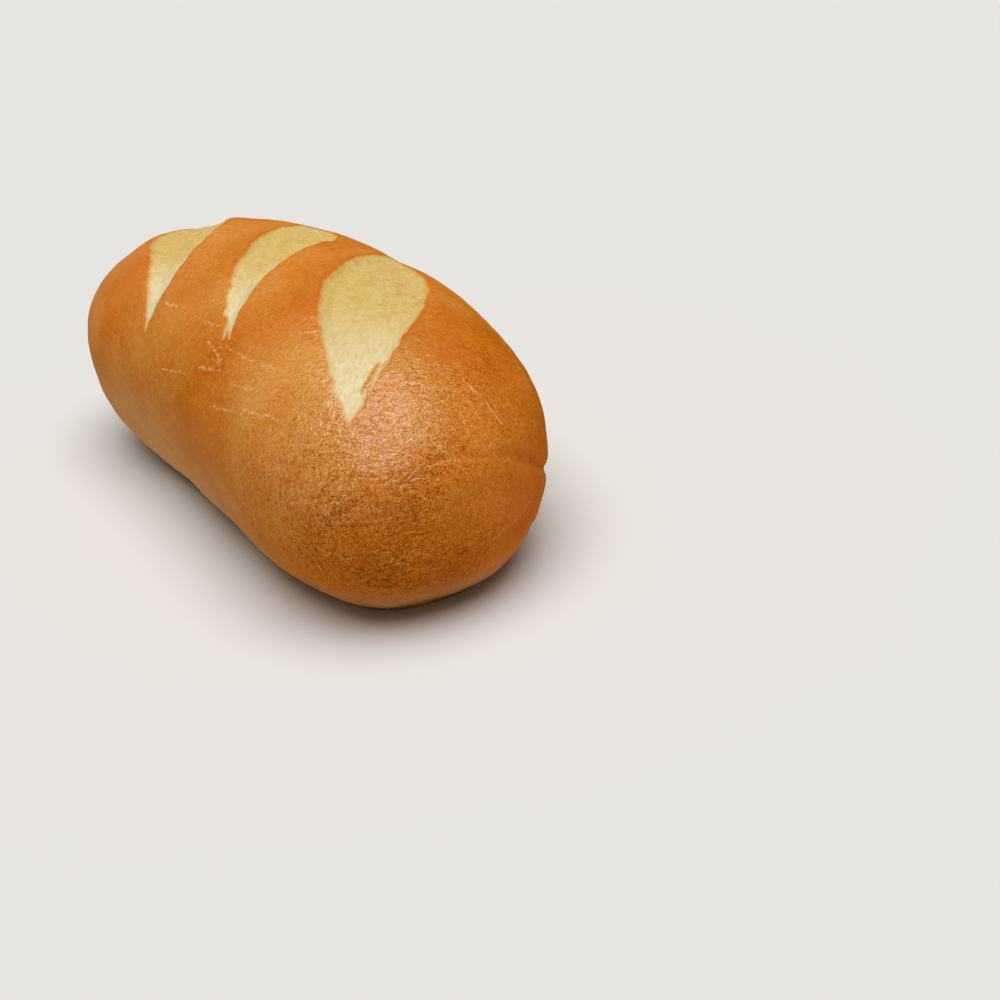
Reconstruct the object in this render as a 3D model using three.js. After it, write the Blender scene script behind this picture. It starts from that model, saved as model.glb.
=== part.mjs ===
import * as THREE from 'three';

// A small sub roll: a plump loaf of soft white bread, slightly bowed, with a flat base, three slanting
// scores on its crown that opened in the oven, and creases where the crust folded at its near end.
// Millimetres, +Z up. The roll lies along X, its near end towards +X and its front flank towards -Y.
// The origin is the middle of its base.

// The loaf.
const LENGTH = 150;
const WIDTH = 64;
const HEIGHT = 52;
const WAIST = 24.5; // height of the widest line above the base
const SINK = 6; // how much of the rounded underside the flat base takes away
const BOW = 8; // how far both ends bend to the front

// How the loaf's outlines close towards its ends. Bluntness 2 and rounding 2 would make an ellipse, and
// more of either makes a squarer end.
const PLAN = { bluntness: 4.1, rounding: 2 };
const CROWN = { bluntness: 3.1, rounding: 2 };
const UNDERSIDE = { bluntness: 4.1, rounding: 2.5 };
const LOWER_ROUNDING = 2.3; // squareness of a section below the waist; above it, it is an ellipse

// The scores, seen from above: middle, turn away from straight across, reach to the front and to the
// back flank, widest opening and depth, how finely it narrows, how far its widest place leans to the
// back, how its line bends and sways, and how wide it stays at its front and back tips.
const SCORES = [
  {
    x: -39.5, y: -11.5, slant: 52, front: 27, back: 24, width: 16.5, depth: 1.8,
    point: 0.9, lean: 0.5, bend: 2, sway: -3, frontTip: 1, backTip: 1.5,
  },
  {
    x: -6.5, y: -2.5, slant: 50, front: 29.5, back: 22, width: 9.5, depth: 1.2,
    point: 1.35, lean: 0.65, bend: 0, sway: 5, frontTip: 1.5, backTip: 1.5,
  },
  {
    x: 30.5, y: 1.5, slant: 57.5, front: 36, back: 35.5, width: 20, depth: 1.5,
    point: 1.6, lean: 0.2, bend: 1, sway: -1.5, frontTip: 4, backTip: 2.5,
  },
];
const LIP_WIDTH = 3; // the crust's rounded edge along a score
const LIP_HEIGHT = 0.5;

// Creases round the near end: their highest place, how wide they arch, and where and how far they are
// pressed in.
const CREASES = [
  { y: -9, z: 33, spread: 7.5, deepest: 17, reach: 16, depth: 0.9 },
  { y: -2, z: 15, spread: 6.5, deepest: 9, reach: 9, depth: 0.4 },
];
const CREASE_WIDTH = 2;

// Soft dents, where the loaf lay against its neighbours and the tray.
const DENTS = [
  { x: -26, y: -31, z: 13, radius: 10, depth: 1 },
  { x: 53, y: -28, z: 7, radius: 9, depth: 0.9 },
  { x: 67, y: -11, z: 4.5, radius: 10, depth: 0.9 },
  { x: 44, y: 21, z: 40, radius: 12, depth: 0.6 },
];

// Gentle waves all over the crust: where one starts along the loaf, its wavelength there, how many go
// round the section, how far they are turned round it, and their height.
const WAVES = [
  { start: 0, wavelength: 46, round: 2, twist: 0, height: 0.3 },
  { start: -5, wavelength: 29, round: 3, twist: 1, height: 0.2 },
];

const RINGS = 76;
const COLUMNS = 72;
const CRUST_COLOUR = 0xc07a2c;

// How much of an outline's full size is left at a share of the way to an end.
function closing(share, { bluntness, rounding }) {
  return (1 - Math.abs(share) ** bluntness) ** (1 / rounding);
}

// A place on the smooth loaf. station runs from -1 at the far end to 1 at the near end, and turn goes
// round the section from the back flank over the crown.
function smoothPoint(station, turn) {
  const share = Math.sin((station * Math.PI) / 2);
  const power = Math.sin(turn) > 0 ? 2 : LOWER_ROUNDING;
  const size = Math.abs(Math.cos(turn)) ** power + Math.abs(Math.sin(turn)) ** power;
  const side = Math.cos(turn) * size ** (-1 / power);
  const rise = Math.sin(turn) * size ** (-1 / power);
  const underside = closing(share, UNDERSIDE);
  const upperside = THREE.MathUtils.lerp(underside, closing(share, CROWN), rise);
  const reach = rise > 0 ? (HEIGHT - WAIST) * upperside : (WAIST + SINK) * underside;
  return new THREE.Vector3(
    (LENGTH / 2) * share,
    (WIDTH / 2) * closing(share, PLAN) * side - BOW * share * share,
    Math.max(0, WAIST + reach * rise),
  );
}

// A score sinks to a shallow floor between two rounded lips of crust, and runs out at both tips. Its
// middle line sways, and half its opening is a bulge that leans to the back, plus a little at the tips.
function scoreRelief(place, score) {
  const slant = THREE.MathUtils.degToRad(score.slant);
  const dx = place.x - score.x;
  const dy = place.y - score.y;
  const along = dy * Math.cos(slant) - dx * Math.sin(slant);
  const across = dx * Math.cos(slant) + dy * Math.sin(slant);
  const share = along / (along < 0 ? score.front : score.back);
  const left = 1 - share * share;
  if (place.z < WAIST || left <= 0) return 0;
  const line = left * (score.bend + score.sway * share);
  const bulge = (score.width / 2) * left ** score.point * Math.exp(score.lean * share);
  const tip = ((along < 0 ? score.frontTip : score.backTip) / 2) * Math.abs(share);
  const inside = bulge + tip * (1 - share ** 8) - Math.abs(across - line);
  const opened = THREE.MathUtils.smoothstep(inside, -LIP_WIDTH / 3, LIP_WIDTH);
  const lip = Math.exp(-(((inside + LIP_WIDTH / 2) / LIP_WIDTH) ** 2));
  return left * (LIP_HEIGHT * lip - (score.depth + LIP_HEIGHT) * opened);
}

// A crease is a narrow groove that arches round the near end.
function creaseRelief(place, crease) {
  if (place.x < LENGTH / 4) return 0;
  const arch = crease.z - ((place.y - crease.y) / crease.spread) ** 2;
  const groove = Math.exp(-(((place.z - arch) / CREASE_WIDTH) ** 2));
  return -crease.depth * groove * Math.exp(-(((place.y - crease.deepest) / crease.reach) ** 2));
}

function dentRelief(place, dent) {
  const distance = place.distanceTo(new THREE.Vector3(dent.x, dent.y, dent.z));
  return -dent.depth * Math.exp(-((distance / dent.radius) ** 2));
}

// The waves die away towards the two ends.
function waveRelief(place, turn, wave) {
  const share = (2 * place.x) / LENGTH;
  const along = Math.sin((2 * Math.PI * (place.x - wave.start)) / wave.wavelength);
  return wave.height * (1 - share * share) * along * Math.cos(wave.round * turn + wave.twist);
}

// How far the crust stands proud of the smooth loaf.
function relief(place, turn) {
  let height = 0;
  for (const score of SCORES) height += scoreRelief(place, score);
  for (const crease of CREASES) height += creaseRelief(place, crease);
  for (const dent of DENTS) height += dentRelief(place, dent);
  for (const wave of WAVES) height += waveRelief(place, turn, wave);
  return height;
}

// Rings of points between one point at each end, joined by triangles that face outwards. All but the
// flat base is then moved along its normal by the relief.
function loafGeometry() {
  const places = [smoothPoint(-1, 0)];
  const turns = [0];
  for (let ring = 1; ring < RINGS; ring += 1) {
    for (let column = 0; column < COLUMNS; column += 1) {
      const turn = (2 * Math.PI * column) / COLUMNS;
      places.push(smoothPoint((2 * ring) / RINGS - 1, turn));
      turns.push(turn);
    }
  }
  places.push(smoothPoint(1, 0));
  turns.push(0);

  const last = places.length - 1;
  const at = (ring, column) => 1 + (ring - 1) * COLUMNS + (column % COLUMNS);
  const triangles = [];
  for (let column = 0; column < COLUMNS; column += 1) {
    triangles.push(0, at(1, column + 1), at(1, column));
    triangles.push(last, at(RINGS - 1, column), at(RINGS - 1, column + 1));
    for (let ring = 1; ring < RINGS - 1; ring += 1) {
      triangles.push(at(ring, column), at(ring, column + 1), at(ring + 1, column));
      triangles.push(at(ring + 1, column), at(ring, column + 1), at(ring + 1, column + 1));
    }
  }

  const geometry = new THREE.BufferGeometry().setFromPoints(places);
  geometry.setIndex(triangles);
  geometry.computeVertexNormals();
  const normals = geometry.getAttribute('normal');
  places.forEach((place, index) => {
    if (place.z === 0) return;
    const outward = new THREE.Vector3().fromBufferAttribute(normals, index);
    place.addScaledVector(outward, relief(place, turns[index]));
    place.z = Math.max(0, place.z);
  });
  geometry.setFromPoints(places);
  geometry.computeBoundingBox();
  const middle = geometry.boundingBox.getCenter(new THREE.Vector3());
  geometry.translate(-middle.x, -middle.y, -geometry.boundingBox.min.z);
  geometry.computeVertexNormals();
  return geometry;
}

const crust = new THREE.MeshStandardMaterial({ color: CRUST_COLOUR, roughness: 0.45, metalness: 0 });
const roll = new THREE.Mesh(loafGeometry(), crust);
roll.name = 'roll';

const subRoll = new THREE.Group();
subRoll.add(roll);

export default subRoll;
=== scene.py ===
"""A small sub roll of soft white bread, with a golden crust and three pale scores across its crown."""

import math

import bpy
import numpy as np
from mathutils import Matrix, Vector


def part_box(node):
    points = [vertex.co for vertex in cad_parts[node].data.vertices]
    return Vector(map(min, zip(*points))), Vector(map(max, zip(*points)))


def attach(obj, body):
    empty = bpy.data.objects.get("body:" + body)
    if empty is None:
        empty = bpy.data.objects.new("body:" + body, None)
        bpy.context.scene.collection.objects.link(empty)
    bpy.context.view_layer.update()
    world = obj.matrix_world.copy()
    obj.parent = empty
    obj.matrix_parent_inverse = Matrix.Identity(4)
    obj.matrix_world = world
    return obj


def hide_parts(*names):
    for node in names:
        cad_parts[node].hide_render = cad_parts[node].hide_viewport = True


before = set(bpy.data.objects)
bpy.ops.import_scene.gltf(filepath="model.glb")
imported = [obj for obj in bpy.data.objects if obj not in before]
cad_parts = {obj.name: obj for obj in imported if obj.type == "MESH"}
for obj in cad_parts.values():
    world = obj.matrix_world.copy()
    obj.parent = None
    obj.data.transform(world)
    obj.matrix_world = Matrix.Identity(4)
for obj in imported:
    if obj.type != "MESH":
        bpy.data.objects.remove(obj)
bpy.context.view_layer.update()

# ---------------------------------------------------------------------------------------------
# The camera: a short telephoto lens, a little above the roll and off its near end. The real roll lay
# tipped to one side. Here it lies flat on its base, and the camera is turned by that much instead.

CAMERA_PLACE = (0.3453, -0.1284, 0.1644)  # metres
CAMERA_TURN = (64.63, 6.74, 61.00)  # degrees about X, Y and Z
LENS = 68.4  # millimetres
SENSOR = 36  # millimetres

lens = bpy.data.cameras.new("camera")
lens.lens = LENS
lens.sensor_width = SENSOR
camera = bpy.data.objects.new("camera", lens)
camera.location = CAMERA_PLACE
camera.rotation_euler = [math.radians(turn) for turn in CAMERA_TURN]
bpy.context.collection.objects.link(camera)
bpy.context.scene.camera = camera

# ---------------------------------------------------------------------------------------------
# The room: a wide, matt white table under one broad and even ceiling light, which puts the soft shine
# on the crown, with a little light from all round. Colours are shown as they are, with no film look.

TABLE_COLOUR = "#dad8d4"
TABLE_ROUGHNESS = 0.8
TABLE_REACH = 90  # metres from the roll to each edge
ROOM_STRENGTH = 0.16
CEILING_LEAN = 12  # degrees off straight above
CEILING_SIDE = -15  # degrees about Z from +X, where it leans to
CEILING_SPAN = 58  # degrees of the sky that it spans
CEILING_STRENGTH = 3.15


def linear(colour):
    """Turns an sRGB hex value into linear red, green, blue and alpha, by the sRGB standard's curve."""
    shares = [int(colour[start:start + 2], 16) / 255 for start in (1, 3, 5)]
    return [s / 12.92 if s <= 0.04045 else ((s + 0.055) / 1.055) ** 2.4 for s in shares] + [1.0]


def add_node(tree, kind, inputs=(), output=0, **settings):
    """Adds one node. settings are its own properties, and inputs pairs a socket's name or number with
    a value, or with another node's output, which is linked to it. Gives the output of the name or
    number asked for, or the node itself if it has none."""
    made = tree.nodes.new(kind)
    for name, value in settings.items():
        setattr(made, name, value)
    for socket, value in dict(inputs).items():
        if isinstance(value, bpy.types.NodeSocket):
            tree.links.new(value, made.inputs[socket])
        else:
            made.inputs[socket].default_value = value
    return made.outputs[output] if made.outputs else made


def new_material(name):
    """A material whose node tree is still empty."""
    material = bpy.data.materials.new(name)
    material.use_nodes = True
    material.node_tree.nodes.clear()
    return material


white_table = new_material("white_table")
tree = white_table.node_tree
matt_white = add_node(tree, "ShaderNodeBsdfPrincipled", {
    "Base Color": linear(TABLE_COLOUR), "Roughness": TABLE_ROUGHNESS, "Specular IOR Level": 0.0})
add_node(tree, "ShaderNodeOutputMaterial", {"Surface": matt_white})

table_mesh = bpy.data.meshes.new("table")
corners = [(x * TABLE_REACH, y * TABLE_REACH, 0) for x, y in ((-1, -1), (1, -1), (1, 1), (-1, 1))]
table_mesh.from_pydata(corners, [], [(0, 1, 2, 3)])
table_mesh.materials.append(white_table)
table = bpy.data.objects.new("table", table_mesh)
bpy.context.collection.objects.link(table)

room = bpy.data.worlds.new("white_room")
room.use_nodes = True
walls = room.node_tree.nodes["Background"]
walls.inputs["Color"].default_value = (1, 1, 1, 1)
walls.inputs["Strength"].default_value = ROOM_STRENGTH
bpy.context.scene.world = room

ceiling_light = bpy.data.lights.new("ceiling", "SUN")
ceiling_light.angle = math.radians(CEILING_SPAN)
ceiling_light.energy = CEILING_STRENGTH
ceiling = bpy.data.objects.new("ceiling", ceiling_light)
ceiling.rotation_euler = (0, math.radians(CEILING_LEAN), math.radians(CEILING_SIDE))
bpy.context.collection.objects.link(ceiling)

bpy.context.scene.view_settings.view_transform = "Standard"

# ---------------------------------------------------------------------------------------------
# The roll: soft white wheat dough, shaped by hand into a plump loaf, cut three times with a blade and
# baked on a flat tray, all in one piece. The loaf repeats the solid's own sizes, in millimetres, on a
# finer grid, and its scores and creases are set more finely. It lies along X, its near end towards +X.

LENGTH, WIDTH, HEIGHT = 150, 64, 52
WAIST = 24.5  # height of the widest line
SINK = 6  # how much of the rounded underside the flat base takes away
BOW = 8  # how far both ends bend to the front flank, which faces -Y
PLAN, CROWN, UNDERSIDE = (4.1, 2.0), (3.1, 2.0), (4.1, 2.5)  # bluntness and rounding of outlines
LOWER_ROUNDING = 2.3  # squareness of a section below the waist; above it, it is an ellipse
RINGS, COLUMNS = 420, 232
RING_CROWDING = 0.15  # how much closer the rings stand at the near end than at the far end
COLUMN_CROWDING = 0.45  # how much closer the columns stand on the crown than on the base


def closing(share, bluntness, rounding):
    """(1 - |share|^bluntness)^(1 / rounding): what is left of an outline's full size at a share of the
    way to an end."""
    return np.clip(1 - np.abs(share) ** bluntness, 0, None) ** (1 / rounding)


def smooth_loaf(station, turn):
    """The loaf without its relief. station, from -1 to 1, goes from end to end: x is half the length
    times share = sin(90 degrees * station). turn goes round the section, which is a superellipse
    about the waist: side and rise are cos and sin of turn over (|cos|^p + |sin|^p)^(1/p). Half width,
    height above the waist and depth below it each follow their own closing outline, the ends bend to
    the front by BOW * share^2, and nothing goes below the flat base."""
    share = np.sin(station * np.pi / 2)
    power = np.where(np.sin(turn) > 0, 2.0, LOWER_ROUNDING)
    size = (np.abs(np.cos(turn)) ** power + np.abs(np.sin(turn)) ** power) ** (-1 / power)
    side, rise = np.cos(turn) * size, np.sin(turn) * size
    underside = closing(share, *UNDERSIDE)
    upperside = underside + (closing(share, *CROWN) - underside) * rise
    reach = np.where(rise > 0, (HEIGHT - WAIST) * upperside, (WAIST + SINK) * underside)
    x = LENGTH / 2 * share
    y = WIDTH / 2 * closing(share, *PLAN) * side - BOW * share**2
    z = np.maximum(0, WAIST + reach * rise)
    return np.stack(np.broadcast_arrays(x, y, z), axis=-1)


def outward(station, turn):
    """The smooth loaf's normal: the cross product of its slopes along turn and along station."""
    step = 1e-4
    along = smooth_loaf(station + step, turn) - smooth_loaf(station - step, turn)
    around = smooth_loaf(station, turn + step) - smooth_loaf(station, turn - step)
    normal = np.cross(around, along)
    return normal / np.linalg.norm(normal, axis=-1, keepdims=True)


# Each score, seen from above: middle, turn away from straight across, reach to the front and to the
# back, widest opening, depth, how finely it narrows, how far its widest place leans to the back, how
# its line bends and sways, and how wide it stays at its front and back tips. All three were cut alike,
# but the oven opened them to different widths.
SCORES = [
    dict(x=-39.5, y=-11.5, slant=52, front=27, back=24, width=15.6, depth=1.8,
         point=0.9, lean=0.5, bend=1.5, sway=-3, front_tip=1, back_tip=1.5),
    dict(x=-6.5, y=-2.5, slant=50, front=29.5, back=22, width=13.8, depth=1.2,
         point=1.35, lean=0.65, bend=1.5, sway=6, front_tip=2, back_tip=3.5),
    dict(x=30.5, y=1.5, slant=57.5, front=38, back=35.5, width=19.6, depth=1.5,
         point=1.7, lean=0.2, bend=1.2, sway=-0.3, front_tip=6.5, back_tip=2.5),
]
LIP_WIDTH, LIP_HEIGHT = 3.0, 0.5  # the crust's rounded edge along a score
CRUST_STEP = 0.16  # thickness of the torn crust, which stands over the crumb
STEP_EDGE = (-0.3, 0.5)  # where it steps down, from outside a score's edge to inside it
FAR_OUTSIDE = -9.0  # stands for places that no score reaches

# Beside the front tips the skin tore into shreds: narrow strips of crust that still cross an opening,
# and narrow tears in the crust. Each is an ellipse, seen from above: middle, turn, reach and width.
STRIPS = [
    dict(x=56, y=-10.9, slant=39, reach=4, width=0.7),
    dict(x=56.8, y=-10.1, slant=38, reach=4, width=0.8),
]
TEARS = [
    dict(x=56.2, y=-9.3, slant=43, reach=5, width=1),
    dict(x=59.8, y=-15.6, slant=52, reach=2.4, width=0.9),
    dict(x=58.5, y=-17, slant=63, reach=2.4, width=0.9),
    dict(x=13.4, y=-21.5, slant=50, reach=2.5, width=0.9),
    dict(x=15.5, y=-21.6, slant=66, reach=2.2, width=0.7),
    dict(x=-19.5, y=-27.2, slant=48, reach=1.6, width=0.8),
]
SHRED_EDGE = (-0.3, 0.3)  # where a strip or a tear steps up or down, across its own edge


def score_frame(place, score):
    """How far each place lies inside a score's edge, negative outside it, and its share of the way to
    a tip. Half the opening is width/2 * (1 - share^2)^point * exp(lean * share), and half a tip's
    width times |share| * (1 - share^8), about a line that is off straight by (1 - share^2) *
    (bend + sway * share)."""
    slant = math.radians(score["slant"])
    dx, dy = place[..., 0] - score["x"], place[..., 1] - score["y"]
    along = dy * math.cos(slant) - dx * math.sin(slant)
    across = dx * math.cos(slant) + dy * math.sin(slant)
    share = along / np.where(along < 0, score["front"], score["back"])
    left = np.clip(1 - share**2, 0, None)
    line = left * (score["bend"] + score["sway"] * share)
    half = score["width"] / 2 * left ** score["point"] * np.exp(score["lean"] * share)
    tip = np.where(share < 0, score["front_tip"], score["back_tip"]) / 2
    half += tip * np.abs(share) * np.clip(1 - share**8, 0, None)
    beyond = np.clip(np.abs(share) - 1, 0, None) * score["front"]
    inside = half - np.abs(across - line) - beyond
    return np.where(place[..., 2] < WAIST, FAR_OUTSIDE, inside), share


def shred_frame(place, shred):
    """How far each place lies inside a strip or a tear, negative outside it: a score's outline, with the
    ellipse's (1 - share^2)^0.5 and neither lean, line nor tips."""
    outline = dict(front=shred["reach"], back=shred["reach"], point=0.5, lean=0, bend=0, sway=0)
    return score_frame(place, dict(shred, **outline, front_tip=0, back_tip=0))[0]


def smoothstep(value, low, high):
    """3t^2 - 2t^3, where t is value's share of the way from low to high, kept between 0 and 1."""
    t = np.clip((value - low) / (high - low), 0, 1)
    return t * t * (3 - 2 * t)


def score_relief(inside, share, score):
    """A score sinks to a shallow floor between rounded lips of crust, and runs out at its tips: a
    bell-shaped lip just outside the edge, less a smooth step down and a small sharp one at the edge."""
    left = np.clip(1 - share**2, 0, None)
    opened = smoothstep(inside, -LIP_WIDTH / 3, LIP_WIDTH)
    lip = np.exp(-(((inside + LIP_WIDTH / 2) / LIP_WIDTH) ** 2))
    torn = CRUST_STEP * smoothstep(inside, *STEP_EDGE)
    return left * (LIP_HEIGHT * lip - (score["depth"] + LIP_HEIGHT - CRUST_STEP) * opened - torn)


# Creases round the near end: their highest place, how wide they arch, where, how far along and how
# deep they are pressed in, and their width. The last is only a wrinkle of the skin, in line with the
# first. Then the soft dents where the dough was pressed, and the gentle waves of the crust.
CREASES = [
    dict(y=-9, z=33, spread=7.5, deepest=17, reach=10, depth=0.9, width=1.3),
    dict(y=-2, z=15, spread=6.5, deepest=9, reach=9, depth=0.4, width=1.3),
    dict(y=-9, z=33, spread=7.5, deepest=-6, reach=5, depth=0.22, width=0.6),
]
DENTS = [
    dict(place=(-26, -31, 13), radius=10, depth=1),
    dict(place=(53, -28, 7), radius=9, depth=0.9),
    dict(place=(67, -11, 4.5), radius=10, depth=0.9),
    dict(place=(44, 21, 40), radius=12, depth=0.6),
]
WAVES = [
    dict(start=0, wavelength=46, round=2, twist=0, height=0.3),
    dict(start=-5, wavelength=29, round=3, twist=1, height=0.2),
]

# Finer unevenness: how far it swings either way, in millimetres, and the length, the number and the
# seed of its waves.
RAGGED_EDGE = dict(swing=0.25, wavelength=4, waves=40, seed=4)
UNEVEN_CRUST = dict(swing=0.05, wavelength=5, waves=40, seed=1)
UNEVEN_CRUMB = dict(swing=0.05, wavelength=3, waves=40, seed=2)
CRUST_EDGE = (0.4, -0.4)  # where crumb gives way to crust, across a score's edge


def crease_relief(place, crease):
    """A groove with a bell-shaped section, along an arch that drops with the square of the distance to
    either side. Its depth fades by a bell curve away from its deepest place."""
    arch = crease["z"] - ((place[..., 1] - crease["y"]) / crease["spread"]) ** 2
    groove = np.exp(-(((place[..., 2] - arch) / crease["width"]) ** 2))
    fade = np.exp(-(((place[..., 1] - crease["deepest"]) / crease["reach"]) ** 2))
    return np.where(place[..., 0] < LENGTH / 4, 0, -crease["depth"] * groove * fade)


def dent_relief(place, dent):
    """A bell-shaped hollow about a point."""
    distance = np.linalg.norm(place - np.array(dent["place"]), axis=-1)
    return -dent["depth"] * np.exp(-((distance / dent["radius"]) ** 2))


def wave_relief(place, turn, wave):
    """A sine along the loaf times a cosine round it, which dies away towards the ends by
    1 - share^2."""
    share = 2 * place[..., 0] / LENGTH
    along = np.sin(2 * np.pi * (place[..., 0] - wave["start"]) / wave["wavelength"])
    return wave["height"] * (1 - share**2) * along * np.cos(wave["round"] * turn + wave["twist"])


def unevenness(place, swing, wavelength, waves, seed):
    """Smooth unevenness, mostly within swing of zero: the sum of many sine waves of about one length,
    whose directions, lengths and phases are drawn at random, over the root of their number."""
    draw = np.random.default_rng(seed)
    directions = draw.normal(size=(waves, 3))
    directions /= np.linalg.norm(directions, axis=1, keepdims=True)
    lengths = wavelength * draw.uniform(0.75, 1.35, size=(waves, 1))
    phases = draw.uniform(0, 2 * np.pi, waves)
    sines = np.sin(place @ (directions * 2 * np.pi / lengths).T + phases)
    return swing * (sines.sum(-1) / math.sqrt(waves))


ring = np.linspace(-1, 1, RINGS + 1)[1:-1]
column = np.arange(COLUMNS) * 2 * np.pi / COLUMNS
station = (ring + RING_CROWDING * (1 - ring**2))[:, None]
turn = (column + COLUMN_CROWDING * np.cos(column))[None, :]
place = smooth_loaf(station, turn)
normal = outward(station, turn)
turn = np.broadcast_to(turn, place.shape[:2])

ends = np.array([(-LENGTH / 2, -BOW, WAIST), (LENGTH / 2, -BOW, WAIST)], float)
place = np.vstack([ends[:1], place.reshape(-1, 3), ends[1:]])
normal = np.vstack([[(-1, 0, 0)], normal.reshape(-1, 3), [(1, 0, 0)]])
turn = np.concatenate([[0], turn.reshape(-1), [0]])

relief = np.zeros(len(place))
score_inside = np.full(len(place), FAR_OUTSIDE)
tail = np.zeros(len(place))
raggedness = unevenness(place, **RAGGED_EDGE)
for score in SCORES:
    inside, share = score_frame(place, score)
    inside += raggedness
    relief += score_relief(inside, share, score)
    tail = np.where(inside > score_inside, -share, tail)
    score_inside = np.maximum(score_inside, inside)
for strip in STRIPS:
    inside = shred_frame(place, strip)
    relief += CRUST_STEP * smoothstep(inside, *SHRED_EDGE)
    score_inside = np.minimum(score_inside, -inside)
for tear in TEARS:
    inside = shred_frame(place, tear)
    relief -= CRUST_STEP * smoothstep(inside, *SHRED_EDGE)
    score_inside = np.maximum(score_inside, inside)
for crease in CREASES:
    relief += crease_relief(place, crease)
for dent in DENTS:
    relief += dent_relief(place, dent)
for wave in WAVES:
    relief += wave_relief(place, turn, wave)

resting = place[:, 2] <= 0
crust_share = smoothstep(score_inside, *CRUST_EDGE)
relief += crust_share * unevenness(place, **UNEVEN_CRUST)
relief += (1 - crust_share) * unevenness(place, **UNEVEN_CRUMB)
shaped = place + normal * relief[:, None]
shaped[:, 2] = np.maximum(shaped[:, 2], 0)
shaped[resting] = place[resting]

low, high = (np.array(corner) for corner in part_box("roll"))
own_low, own_high = shaped.min(axis=0), shaped.max(axis=0)
vertices = low + (shaped - own_low) * (high - low) / (own_high - own_low)

rows = 1 + np.arange(COLUMNS * (RINGS - 1)).reshape(RINGS - 1, COLUMNS)
following = np.roll(rows, -1, axis=1)
quads = np.stack([rows[:-1], following[:-1], following[1:], rows[1:]], axis=-1).reshape(-1, 4)
last = len(vertices) - 1
far_fan = np.stack([np.zeros(COLUMNS, int), following[0], rows[0]], axis=-1)
near_fan = np.stack([np.full(COLUMNS, last), rows[-1], following[-1]], axis=-1)

roll_mesh = bpy.data.meshes.new("sub_roll")
roll_mesh.from_pydata(vertices, [], quads.tolist() + far_fan.tolist() + near_fan.tolist())
roll_mesh.shade_smooth()

# How strongly the oven browned each place, from 0 at the palest to 1 at the darkest, with painted light
# and shade laid into it. The near end is browner, and low on its front it is darkened further as painted
# shade. Low on the back of the near end it is lightened as painted warm reflected light, and on the crown
# by the highlight it is lightened as a painted sheen. Round the foot, which faced the tray, the crust
# stays pale. Each patch is a rise or fall about its middle.
BROWNING = 0.44
BROWNING_AND_LIGHT_PATCHES = [
    # painted shade, low on the front of the near end
    dict(place=(73, -16, 8), radius=23, amount=0.36),
    dict(place=(62, 16, 38), radius=24, amount=0.22),
    # painted warm reflected light, low on the back of the near end
    dict(place=(76, 6, 20), radius=15, amount=-0.20),
    dict(place=(10, -34, 24), radius=24, amount=0.10),
    # painted sheen, paler crust on the crown by the highlight
    dict(place=(50, -20, 44), radius=16, amount=-0.14),
    dict(place=(-66, 8, 30), radius=26, amount=0.16),
    dict(place=(0, 32, 22), radius=36, amount=0.10),
    dict(place=(-24, -34, 8), radius=24, amount=-0.14),
]
BROAD_BROWNING = dict(swing=0.04, wavelength=30, waves=24, seed=3)
CLOSE_BROWNING = dict(swing=0.03, wavelength=13, waves=30, seed=5)
PALE_FOOT = 0.42  # how much less the foot browned
FOOT = (0.3, 5)  # heights in millimetres between which it fades
FOOT_LINE = dict(swing=1.2, wavelength=9, waves=30, seed=6)

# How coarse the skin is: nearly smooth at the far end and on the back, and full of pimples and
# wrinkles on the front of the near end, which faced the heat.
COARSENESS = 0.35
COARSE = [
    dict(place=(66, -22, 34), radius=27, amount=0.68),
    dict(place=(0, -32, 12), radius=40, amount=0.15),
    dict(place=(-75, -8, 24), radius=40, amount=-0.05),
]
UNEVEN_COARSENESS = dict(swing=0.15, wavelength=12, waves=30, seed=7)

# Where the crust blushed redder than elsewhere, and, low on the back of the near end, a painted warm
# reflected light that makes it redder still.
BLUSH = 0.04
BLUSH_AND_WARM_LIGHT_PATCHES = [
    dict(place=(31, -10, 51), radius=7, amount=0.4),
    dict(place=(-42, -24, 42), radius=20, amount=0.3),
    dict(place=(50, 10, 45), radius=12, amount=0.12),
    # painted warm reflected light, redder, low on the back of the near end
    dict(place=(68, 11, 16), radius=15, amount=0.35),
    dict(place=(20, -32, 28), radius=20, amount=0.15),
    dict(place=(-6, 28, 36), radius=16, amount=0.2),
]
UNEVEN_BLUSH = dict(swing=0.06, wavelength=14, waves=30, seed=8)

# How thickly the egg wash lies: it was brushed along the crown, and hardly reached the flanks and the
# back of the near end.
WASH = 0.5
WASHED = [
    dict(place=(60, -17, 41), radius=22, amount=0.6),
    dict(place=(36, -34, 31), radius=18, amount=-0.6),
    dict(place=(74, 10, 22), radius=22, amount=-0.7),
    dict(place=(-72, -4, 32), radius=24, amount=-0.3),
]
WASH_LINE = (20, 39)  # heights in millimetres between which it thins out


def patchy(place, level, patches):
    """A level, plus a bell-shaped rise or fall about the middle of each patch."""
    values = np.full(len(place), level, float)
    for patch in patches:
        distance = np.linalg.norm(place - np.array(patch["place"]), axis=1)
        values += patch["amount"] * np.exp(-((distance / patch["radius"]) ** 2))
    return values


browning_and_light = patchy(place, BROWNING, BROWNING_AND_LIGHT_PATCHES)
browning_and_light += unevenness(place, **BROAD_BROWNING) + unevenness(place, **CLOSE_BROWNING)
foot_height = place[:, 2] + unevenness(place, **FOOT_LINE)
browning_and_light -= PALE_FOOT * (1 - smoothstep(foot_height, *FOOT))
coarseness = patchy(place, COARSENESS, COARSE) * (1 + unevenness(place, **UNEVEN_COARSENESS))
blush_and_warm_light = np.clip(patchy(place, BLUSH, BLUSH_AND_WARM_LIGHT_PATCHES) + unevenness(place, **UNEVEN_BLUSH), 0, None)
wash = np.clip(patchy(place, WASH, WASHED), 0, 1) * smoothstep(place[:, 2], *WASH_LINE)

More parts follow.
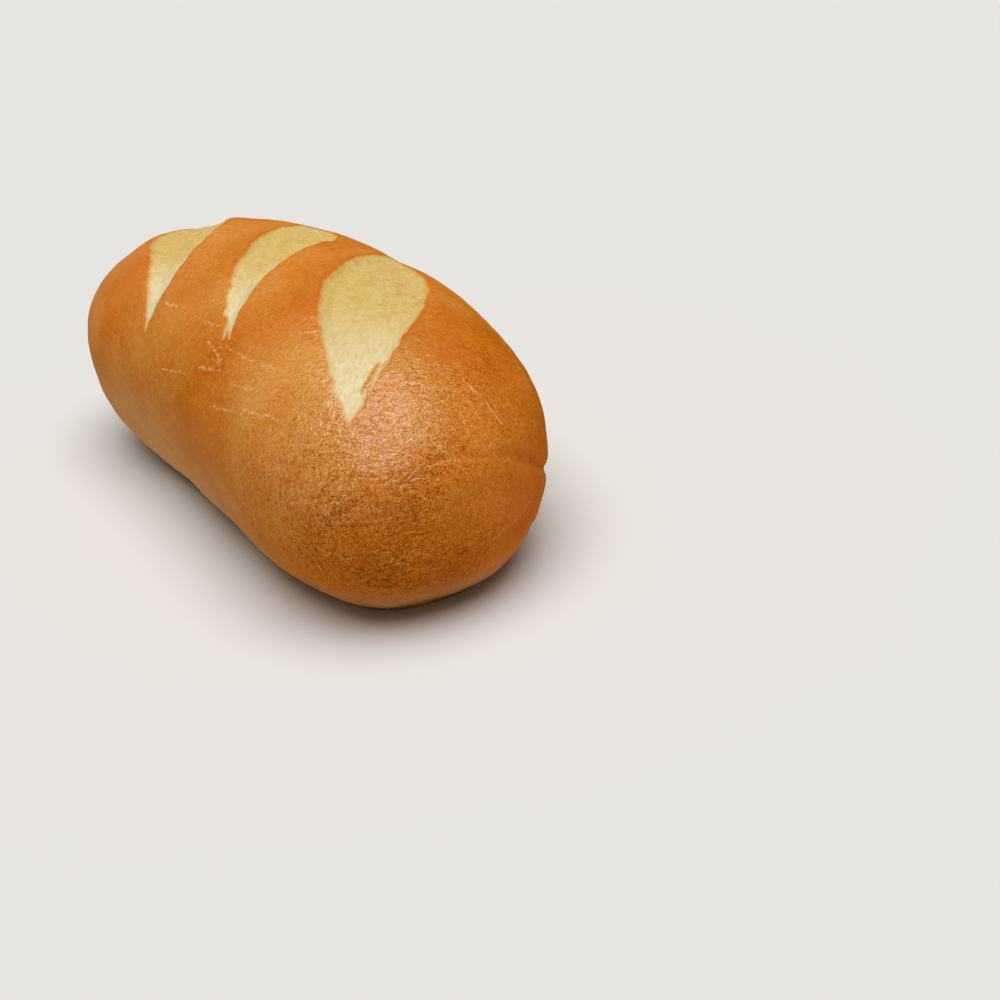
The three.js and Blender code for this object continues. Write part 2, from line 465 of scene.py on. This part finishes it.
# Fine pale marks where the skin tore or was scraped, each from one place on the crust to another.
MARKS = [
    ((17, -23.5, 43.5), (27, -23.5, 43.6)),
    ((27, -23.5, 43.6), (41, -21.5, 44.5)),
    ((4, -22, 44), (12, -21, 45)),
    ((8, -24, 43), (19, -25.5, 42)),
    ((-17, -23.5, 43.6), (-10, -22.6, 44.1)),
    ((-5, -30, 34), (5, -29, 36)),
    ((13, -28, 39), (25, -26, 41)),
    ((28, -27, 40), (36, -26, 41)),
    ((24, -30, 35), (36, -29, 37)),
    ((36, -28.7, 37.7), (49, -27, 39)),
    ((33, -13.5, 50), (35.5, -10, 49.5)),
    ((36, -15, 49), (39.5, -12.5, 49)),
    ((62, 4, 41), (68, 7, 34)),
    ((38, 23, 39), (52, 20, 36)),
    ((72, 1, 15), (68, 11, 17)),
    ((-30, 24, 35), (-19, 25, 37)),
    ((12, 28, 32), (22, 27, 34)),
]
MARK_REACH = 3.0  # how far off the crust a mark's straight line may run
FAR_AWAY = 99.0  # stands for places that a mark can't reach


def off_line(place, normal, start, end):
    """Distance along the crust from the straight line between two places, positive on its left as seen
    from outside and negative on its right: the length of what is left of the offset from the nearest
    point of the line once its share along the normal is taken out."""
    start, stretch = np.array(start), np.subtract(end, start)
    share = np.clip((place - start) @ stretch / (stretch @ stretch), 0, 1)
    offset = place - start - share[:, None] * stretch
    height = (offset * normal).sum(axis=1, keepdims=True)
    side = np.sign((np.cross(stretch, offset) * normal).sum(axis=1))
    distance = side * np.linalg.norm(offset - height * normal, axis=1)
    return np.where(np.abs(height[:, 0]) > MARK_REACH, FAR_AWAY, distance)


mark = np.full(len(place), FAR_AWAY)
for start, end in MARKS:
    distance = off_line(place, normal, start, end)
    mark = np.where(np.abs(distance) < np.abs(mark), distance, mark)

carried = {
    "browning_and_light": browning_and_light, "blush_and_warm_light": blush_and_warm_light, "coarseness": coarseness, "wash": wash,
    "inside": score_inside, "tail": tail, "mark": mark, "base": resting,
}
for name, numbers in carried.items():
    attribute = roll_mesh.attributes.new(name, "FLOAT", "POINT")
    attribute.data.foreach_set("value", numbers.astype(np.float32))

roll = bpy.data.objects.new("sub_roll", roll_mesh)
bpy.context.collection.objects.link(roll)

# Egg-washed wheat crust: thin, golden to deep brown, with a soft shine that fine blisters and wrinkles
# break up. Where a score opened, the crumb shows: matt and pale yellow, with small pockets and with
# fine strands that were drawn out from lip to lip.
MM = 1000  # Object coordinates are metres, and patterns are sized in millimetres
ACROSS_SCORES, ALONG_SCORES = 54, 144  # degrees about Z from +X, as are the next two
ACROSS_STRANDS = -6  # how the web of the crumb lies, aslant over its strands
SKIN_TURN = -12  # the skin's wrinkles lie nearly straight across the loaf

# Patterns of noise: the size of their bumps, how much finer detail they carry, how far they are turned
# about Z, how they are drawn out along their own axes, and how far they are pushed about.
PLAIN = dict(turn=0, stretch=(1, 1, 1), push=0)
PATTERNS = {
    "wrinkles": dict(size=0.8, detail=2, turn=SKIN_TURN, stretch=(1, 2, 1.3), push=0.6),
    "mottle": dict(size=0.6, detail=2, turn=SKIN_TURN, stretch=(1, 1.6, 1.2)),
    "pimples": dict(size=0.25, detail=2, turn=SKIN_TURN, stretch=(1, 1.6, 1.2)),
    "heat": dict(size=9, detail=3),  # broad patches of browning
    "spots": dict(size=1.6, detail=3),  # small spots of browning
    "flour_and_sheen_noise": dict(size=8, detail=3),  # how unevenly the flour and its painted reflection lie on the crust
    "lips": dict(size=5, detail=2),  # how the lips of the scores browned
    "tray": dict(size=7, detail=4),  # how the base browned on the tray
    "wobble": dict(size=2.5, detail=2),  # bends in a pale mark
    "scrapes": dict(size=1.2, detail=3),  # breaks in a pale mark
    "brush": dict(size=3, detail=3),  # strokes of egg wash
    "rags": dict(size=0.8, detail=3),  # the torn crust's finest edge
    "strands": dict(size=0.4, detail=2, turn=ACROSS_SCORES, stretch=(6, 1, 2), push=0.6),
    "web": dict(size=0.6, detail=3, turn=ACROSS_STRANDS, stretch=(2, 1, 1.5), push=1.5),
    "pockets": dict(size=1.8, detail=3, turn=ALONG_SCORES, stretch=(1.8, 1, 1), push=1),
    "threads": dict(size=0.6, detail=2, turn=ALONG_SCORES, stretch=(7, 1, 1), push=0.5),
}

# Sums of a value that the mesh carries, or zero, and of patterns, with the strength of each: how far a
# place lies inside a score's ragged edge and off a pale mark's bent line, how strongly it baked together
# with the painted light and shade that its browning carries, how much paler the skin's bumps are, and the
# relief of crust, egg wash and crumb. Lengths are millimetres.
SUMS = {
    "opening": ("inside", dict(rags=0.9)),
    "off_mark": ("mark", dict(wobble=2)),
    "baked_and_lit": ("browning_and_light", dict(heat=0.18, spots=0.16)),
    "paling": ("zero", dict(wrinkles=0.65, mottle=0.65, pimples=1.3)),
    "crust_height": ("zero", dict(wrinkles=0.25, pimples=0.12)),
    "coat_height": ("zero", dict(wrinkles=0.6, pimples=0.1)),
    "crumb_height": ("zero", dict(strands=0.02, web=0.05, pockets=-0.1)),
}

# Smooth steps: what each one follows, where it begins and ends, and its share before and after. Some
# follow patterns, which swing about zero, some the height and the place along the roll.
STEPS = {
    "fleck": ("pimples", 0.05, 0.25, 0, 0.5),
    "yolk": ("wash", 0.4, 1, 0, 0.12),
    # The next four steps place flour together with a painted pale reflection of the table and room.
    "flour_and_sheen_flank": ("Z", 4, 36, 0.85, 0),
    "short_of_near_end": ("X", 10, 58, 1, 0.05),
    "flour_and_sheen_far_end": ("X", -72, -36, 0.55, 0),
    "flour_and_sheen_foot": ("Z", 2, 13, 0.5, 0),
    "flour_and_sheen_patchiness": ("flour_and_sheen_noise", -0.35, 0.2, 0.4, 1),
    "lip": ("opening", -2, -0.2, 0, 0.6),
    "lip_patches": ("lips", -0.15, 0.1, 0.3, 1),
    "lip_fading": ("tail", 0.1, 0.7, 1, 0.2),
    "near_mark": ("off_mark", 0, 0.45, 0.55, 0),
    "scraped": ("scrapes", -0.12, 0.15, 0, 1),
    "tray_patches": ("tray", -0.15, 0.15, 0, 1),
    "strand": ("strands", -0.2, 0.2, 0, 1),
    "pocket": ("pockets", -0.08, 0.2, 0, 0.5),
    "pale_strand": ("web", 0, 0.25, 0, 0.45),
    "towards_tail": ("tail", 0, 0.85, 0, 1),
    "thread": ("threads", -0.15, 0.1, 0.45, 0.9),
    "rim": ("opening", 0, 0.9, 0.6, 0),
    "open": ("opening", -0.25, 0.35, 0, 1),
    "closed": ("opening", -0.25, 0.35, 1, 0),
    "facing_out": ("facing", 0.25, 0.65, 1, 0),
    "brushed": ("brush", -0.2, 0.1, 0.6, 1),
}

# Products. The last is how much of the clear coat of egg wash shows: it was brushed on in uneven
# strokes, and the crumb has none. Seen along the crust, pimples hide the coat that lies between them.
PRODUCTS = {
    "paling": ("paling", "coarseness"),
    "crust_height": ("crust_height", "coarseness"),
    "coat_height": ("coat_height", "coarseness"),
    "fleck": ("fleck", "coarseness"),
    "flour_and_sheen": ("flour_and_sheen_area", "flour_and_sheen_patchiness"),
    "lip": ("lip", "lip_patches", "lip_fading"),
    "pale_mark": ("near_mark", "scraped"),
    "tray_browning": ("base", "tray_patches"),
    "pale_tail": ("towards_tail", "thread"),
    "coat": ("wash", "facing_out", "brushed", "closed"),
}

# The crust's colours from its palest browning to its darkest. Then what lies over them and over the
# crumb's own colour, from the bottom up: the share of each layer, by name, and its colour.
BROWNED_COLOURS = [
    (0.0, "#dfb272"), (0.22, "#d99d54"), (0.42, "#cd8334"),
    (0.62, "#be6a12"), (0.82, "#9c4f06"), (1.0, "#703603"),
]
# The pale flour layer also paints a reflection of the pale table and room on the lower flanks, the far
# end and the foot.
CRUST_LAYERS = {
    # The blush layer also paints warm reflected light low on the back of the near end.
    "fleck": "#e0a04c", "blush_and_warm_light": "#c8520f", "yolk": "#c09c40", "flour_and_sheen": "#cea072",
    "lip": "#c2601a", "pale_mark": "#e6c48c", "base": "#b98442", "tray_browning": "#d99d54",
}
CRUMB_COLOUR = "#cca958"
CRUMB_LAYERS = {
    "strand": "#d4b876", "pocket": "#c4933a", "pale_strand": "#e2d6ae", "pale_tail": "#dfd3ae",
    "rim": "#cd963c",
}
ROUGHNESS = 0.9
EGG_WASH_ROUGHNESS = 0.15
EGG_WASH_IOR = 1.65  # dried egg has about 1.55; raised until the shine matched the real crust's

egg_washed_crust = new_material("egg_washed_wheat_crust")
tree = egg_washed_crust.node_tree
metres = add_node(tree, "ShaderNodeTexCoord", output="Object")
mm = add_node(tree, "ShaderNodeVectorMath", {0: metres, "Scale": MM}, operation="SCALE")

values = {"zero": 0.0}
for name in carried:
    values[name] = add_node(tree, "ShaderNodeAttribute", output="Fac", attribute_name=name)
for axis in "XZ":
    values[axis] = add_node(tree, "ShaderNodeSeparateXYZ", {"Vector": mm}, axis)
values["facing"] = add_node(tree, "ShaderNodeLayerWeight", {"Blend": 0.5}, "Facing")

for name, pattern in PATTERNS.items():
    pattern = {**PLAIN, **pattern}
    turned = add_node(tree, "ShaderNodeMapping", {
        "Vector": mm, "Rotation": (0, 0, math.radians(pattern["turn"])), "Scale": pattern["stretch"],
    }, vector_type="TEXTURE")
    noise = add_node(tree, "ShaderNodeTexNoise", {
        "Vector": turned, "Scale": 1 / pattern["size"], "Detail": pattern["detail"],
        "Distortion": pattern["push"]}, "Fac")
    values[name] = add_node(tree, "ShaderNodeMath", {0: noise, 1: 0.5}, operation="SUBTRACT")

for name, (start, strengths) in SUMS.items():
    total = values[start]
    for pattern, strength in strengths.items():
        inputs = {0: values[pattern], 1: strength, 2: total}
        total = add_node(tree, "ShaderNodeMath", inputs, operation="MULTIPLY_ADD")
    values[name] = total

# The two sides of a mark's line count alike once its line is bent.
values["off_mark"] = add_node(tree, "ShaderNodeMath", {0: values["off_mark"]}, operation="ABSOLUTE")

for name, (follows, begins, ends, before, after) in STEPS.items():
    inputs = {
        "Value": values[follows], "From Min": begins, "From Max": ends, "To Min": before, "To Max": after}
    values[name] = add_node(tree, "ShaderNodeMapRange", inputs, interpolation_type="SMOOTHSTEP")

# Flour, with a painted pale reflection of the table and room in it, lies on the lower flanks, short of
# the near end, and on the far end and the foot all round.
flour_and_sheen_area = values["flour_and_sheen_flank"]
for operation, other in (
    ("MULTIPLY", "short_of_near_end"), ("MAXIMUM", "flour_and_sheen_far_end"), ("MAXIMUM", "flour_and_sheen_foot"),
):
    flour_and_sheen_area = add_node(tree, "ShaderNodeMath", {0: flour_and_sheen_area, 1: values[other]}, operation=operation)
values["flour_and_sheen_area"] = flour_and_sheen_area

for name, (first, *others) in PRODUCTS.items():
    product = values[first]
    for other in others:
        product = add_node(tree, "ShaderNodeMath", {0: product, 1: values[other]}, operation="MULTIPLY")
    values[name] = product

inputs = {0: values["baked_and_lit"], 1: values["paling"]}
browned_and_lit_share = add_node(tree, "ShaderNodeMath", inputs, operation="SUBTRACT")
browned_and_lit_colour = add_node(tree, "ShaderNodeValToRGB", {"Fac": browned_and_lit_share})
stops = browned_and_lit_colour.node.color_ramp.elements
for number, (position, colour) in enumerate(BROWNED_COLOURS):
    stop = stops[number] if number < len(stops) else stops.new(position)
    stop.position = position
    stop.color = linear(colour)

# A Mix node takes two numbers in its sockets 2 and 3, and two colours in 6 and 7. Its output 2 is the
# mixed colour.
layered = []
for colour, layers in ((browned_and_lit_colour, CRUST_LAYERS), (linear(CRUMB_COLOUR), CRUMB_LAYERS)):
    for name, tint in layers.items():
        inputs = {"Factor": values[name], 6: colour, 7: linear(tint)}
        colour = add_node(tree, "ShaderNodeMix", inputs, 2, data_type="RGBA")
    layered.append(colour)
crust, crumb = layered
inputs = {"Factor": values["open"], 6: crust, 7: crumb}
colour = add_node(tree, "ShaderNodeMix", inputs, 2, data_type="RGBA")

inputs = {"Factor": values["open"], 2: values["crust_height"], 3: values["crumb_height"]}
skin_height = add_node(tree, "ShaderNodeMix", inputs)
skin, coat = (
    add_node(tree, "ShaderNodeBump", {"Height": height, "Distance": 1 / MM, "Strength": 1.0})
    for height in (skin_height, values["coat_height"])
)
bread = add_node(tree, "ShaderNodeBsdfPrincipled", {
    "Base Color": colour, "Roughness": ROUGHNESS, "Specular IOR Level": 0.0, "Normal": skin,
    "Coat Weight": values["coat"], "Coat Roughness": EGG_WASH_ROUGHNESS, "Coat IOR": EGG_WASH_IOR,
    "Coat Normal": coat})
add_node(tree, "ShaderNodeOutputMaterial", {"Surface": bread})
roll_mesh.materials.append(egg_washed_crust)

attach(roll, "root")
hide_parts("roll")
